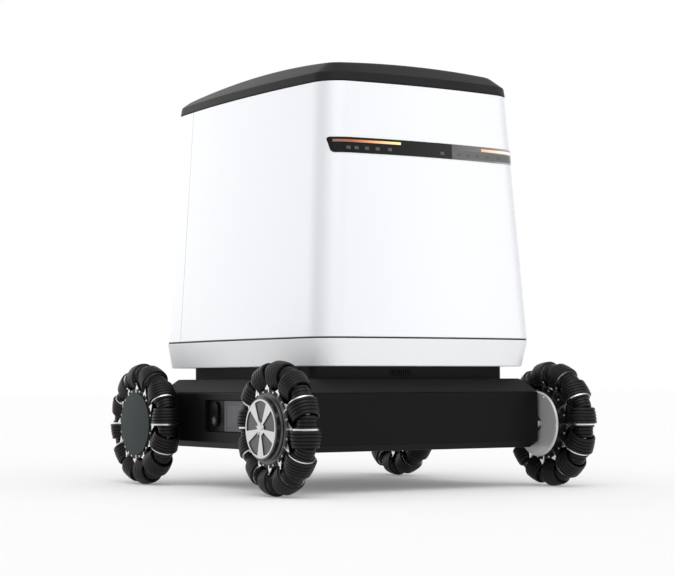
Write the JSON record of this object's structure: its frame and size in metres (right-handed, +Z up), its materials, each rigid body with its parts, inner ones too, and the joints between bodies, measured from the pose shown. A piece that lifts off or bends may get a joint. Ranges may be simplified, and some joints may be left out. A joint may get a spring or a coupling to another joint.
{
  "type": "delivery robot",
  "caption": "Four-wheel delivery robot with hub-motor roller wheels, a low chassis, a tapered body, a front light bar and a hinged lid over a cargo bin.",
  "frame": {"origin": "on the floor, under the centre of the bounding box", "axes": "+Z up, the front faces -Y, the robot's right is -X"},
  "size_m": [0.732, 0.804, 0.849],
  "materials": {
    "hub_aluminium": "machined and satin",
    "rear_cap_black": "fine texture",
    "black_metal": "satin black",
    "plate_steel": "polished plate",
    "fastener_steel": "plain",
    "roller_rubber": "moulded and ribbed",
    "axle_steel": "ground",
    "stator_iron": "laminated and wound",
    "clamp_aluminium": "bead blasted",
    "chassis_black": "satin black",
    "side_panel_grey": "satin grey",
    "sensor_black": "satin",
    "battery_case": "fine texture",
    "body_white": "glossy white",
    "seal_rubber": "plain",
    "bin_grey": "plain",
    "bar_black": "piano black",
    "window_grey": "tinted",
    "led_orange": "lit diffuser",
    "lens_dark": "tinted lens",
    "lid_black": "satin black"
  },
  "bodies": {
    "chassis": {"motor_axles": "axle_steel", "motor_bearings": "axle_steel", "motor_stators": "stator_iron", "axle_clamps": "clamp_aluminium", "clamp_screws": "fastener_steel", "chassis_tub": "chassis_black", "chassis_cover": "chassis_black", "plinth": "chassis_black", "side_plates": "side_panel_grey", "side_sensors": "sensor_black", "battery_pack": "battery_case", "drive_electronics": "clamp_aluminium", "body_skirt": "body_white", "seam_gasket": "seal_rubber", "body_shell": "body_white", "rear_panel": "body_white", "cargo_bin": "bin_grey", "light_bar_bezel": "bar_black", "light_bar_camera_window": "window_grey", "led_strips": "led_orange", "sensor_lenses": "lens_dark", "lid_seal": "seal_rubber", "lid_hinge_brackets": "black_metal", "lid_hinge_pins": "axle_steel", "lid_lock_housing": "black_metal"},
    "lid": {"lid": "lid_black", "lid_hinge_arms": "black_metal"},
    "lock_bolt": {"lid_lock_bolt": "axle_steel"},
    "front_right_wheel": {"front_right_motor_rotor": "hub_aluminium", "front_right_hub_cap": "hub_aluminium", "front_right_roller_carrier": "black_metal", "front_right_roller_plates": "plate_steel", "front_right_studs_and_screws": "fastener_steel", "front_right_rollers": "roller_rubber"},
    "front_right_roller_a": {"front_right_roller_a": "roller_rubber"},
    "front_right_roller_b": {"front_right_roller_b": "roller_rubber"},
    "front_left_wheel": {"front_left_motor_rotor": "hub_aluminium", "front_left_hub_cap": "hub_aluminium", "front_left_roller_carrier": "black_metal", "front_left_roller_plates": "plate_steel", "front_left_studs_and_screws": "fastener_steel", "front_left_rollers": "roller_rubber"},
    "front_left_roller_a": {"front_left_roller_a": "roller_rubber"},
    "front_left_roller_b": {"front_left_roller_b": "roller_rubber"},
    "rear_right_wheel": {"rear_right_motor_rotor": "hub_aluminium", "rear_right_hub_cap": "rear_cap_black", "rear_right_roller_carrier": "black_metal", "rear_right_roller_plates": "plate_steel", "rear_right_studs_and_screws": "fastener_steel", "rear_right_rollers": "roller_rubber"},
    "rear_right_roller_a": {"rear_right_roller_a": "roller_rubber"},
    "rear_right_roller_b": {"rear_right_roller_b": "roller_rubber"},
    "rear_left_wheel": {"rear_left_motor_rotor": "hub_aluminium", "rear_left_hub_cap": "rear_cap_black", "rear_left_roller_carrier": "black_metal", "rear_left_roller_plates": "plate_steel", "rear_left_studs_and_screws": "fastener_steel", "rear_left_rollers": "roller_rubber"},
    "rear_left_roller_a": {"rear_left_roller_a": "roller_rubber"},
    "rear_left_roller_b": {"rear_left_roller_b": "roller_rubber"}
  },
  "joints": [
    {"name": "lid_hinge", "type": "hinge", "parent": "chassis", "child": "lid", "pos_m": [0, 0.359, 0.786], "axis": [-1, 0, 0], "range_deg": [0, 100]},
    {"name": "lid_lock_slide", "type": "slide", "parent": "chassis", "child": "lock_bolt", "axis": [1, 0, 0], "range_m": [0, 0.016]},
    {"name": "front_right_wheel_spin", "type": "hinge", "parent": "chassis", "child": "front_right_wheel", "pos_m": [-0.326, -0.275, 0.127], "axis": [1, 0, 0], "continuous": true},
    {"name": "front_right_roller_a_spin", "type": "hinge", "parent": "front_right_wheel", "child": "front_right_roller_a", "pos_m": [-0.326, -0.275, 0.03], "axis": [0, 1, 0], "continuous": true},
    {"name": "front_right_roller_b_spin", "type": "hinge", "parent": "front_right_wheel", "child": "front_right_roller_b", "pos_m": [-0.326, -0.3235, 0.043], "axis": [0, 0.866, -0.5], "continuous": true},
    {"name": "front_left_wheel_spin", "type": "hinge", "parent": "chassis", "child": "front_left_wheel", "pos_m": [0.326, -0.275, 0.127], "axis": [1, 0, 0], "continuous": true},
    {"name": "front_left_roller_a_spin", "type": "hinge", "parent": "front_left_wheel", "child": "front_left_roller_a", "pos_m": [0.326, -0.275, 0.03], "axis": [0, -1, 0], "continuous": true},
    {"name": "front_left_roller_b_spin", "type": "hinge", "parent": "front_left_wheel", "child": "front_left_roller_b", "pos_m": [0.326, -0.2265, 0.043], "axis": [0, -0.866, -0.5], "continuous": true},
    {"name": "rear_right_wheel_spin", "type": "hinge", "parent": "chassis", "child": "rear_right_wheel", "pos_m": [-0.326, 0.275, 0.127], "axis": [1, 0, 0], "continuous": true},
    {"name": "rear_right_roller_a_spin", "type": "hinge", "parent": "rear_right_wheel", "child": "rear_right_roller_a", "pos_m": [-0.326, 0.275, 0.03], "axis": [0, -1, 0], "continuous": true},
    {"name": "rear_right_roller_b_spin", "type": "hinge", "parent": "rear_right_wheel", "child": "rear_right_roller_b", "pos_m": [-0.326, 0.3235, 0.043], "axis": [0, -0.866, -0.5], "continuous": true},
    {"name": "rear_left_wheel_spin", "type": "hinge", "parent": "chassis", "child": "rear_left_wheel", "pos_m": [0.326, 0.275, 0.127], "axis": [1, 0, 0], "continuous": true},
    {"name": "rear_left_roller_a_spin", "type": "hinge", "parent": "rear_left_wheel", "child": "rear_left_roller_a", "pos_m": [0.326, 0.275, 0.03], "axis": [0, 1, 0], "continuous": true},
    {"name": "rear_left_roller_b_spin", "type": "hinge", "parent": "rear_left_wheel", "child": "rear_left_roller_b", "pos_m": [0.326, 0.2265, 0.043], "axis": [0, 0.866, -0.5], "continuous": true}
  ]
}
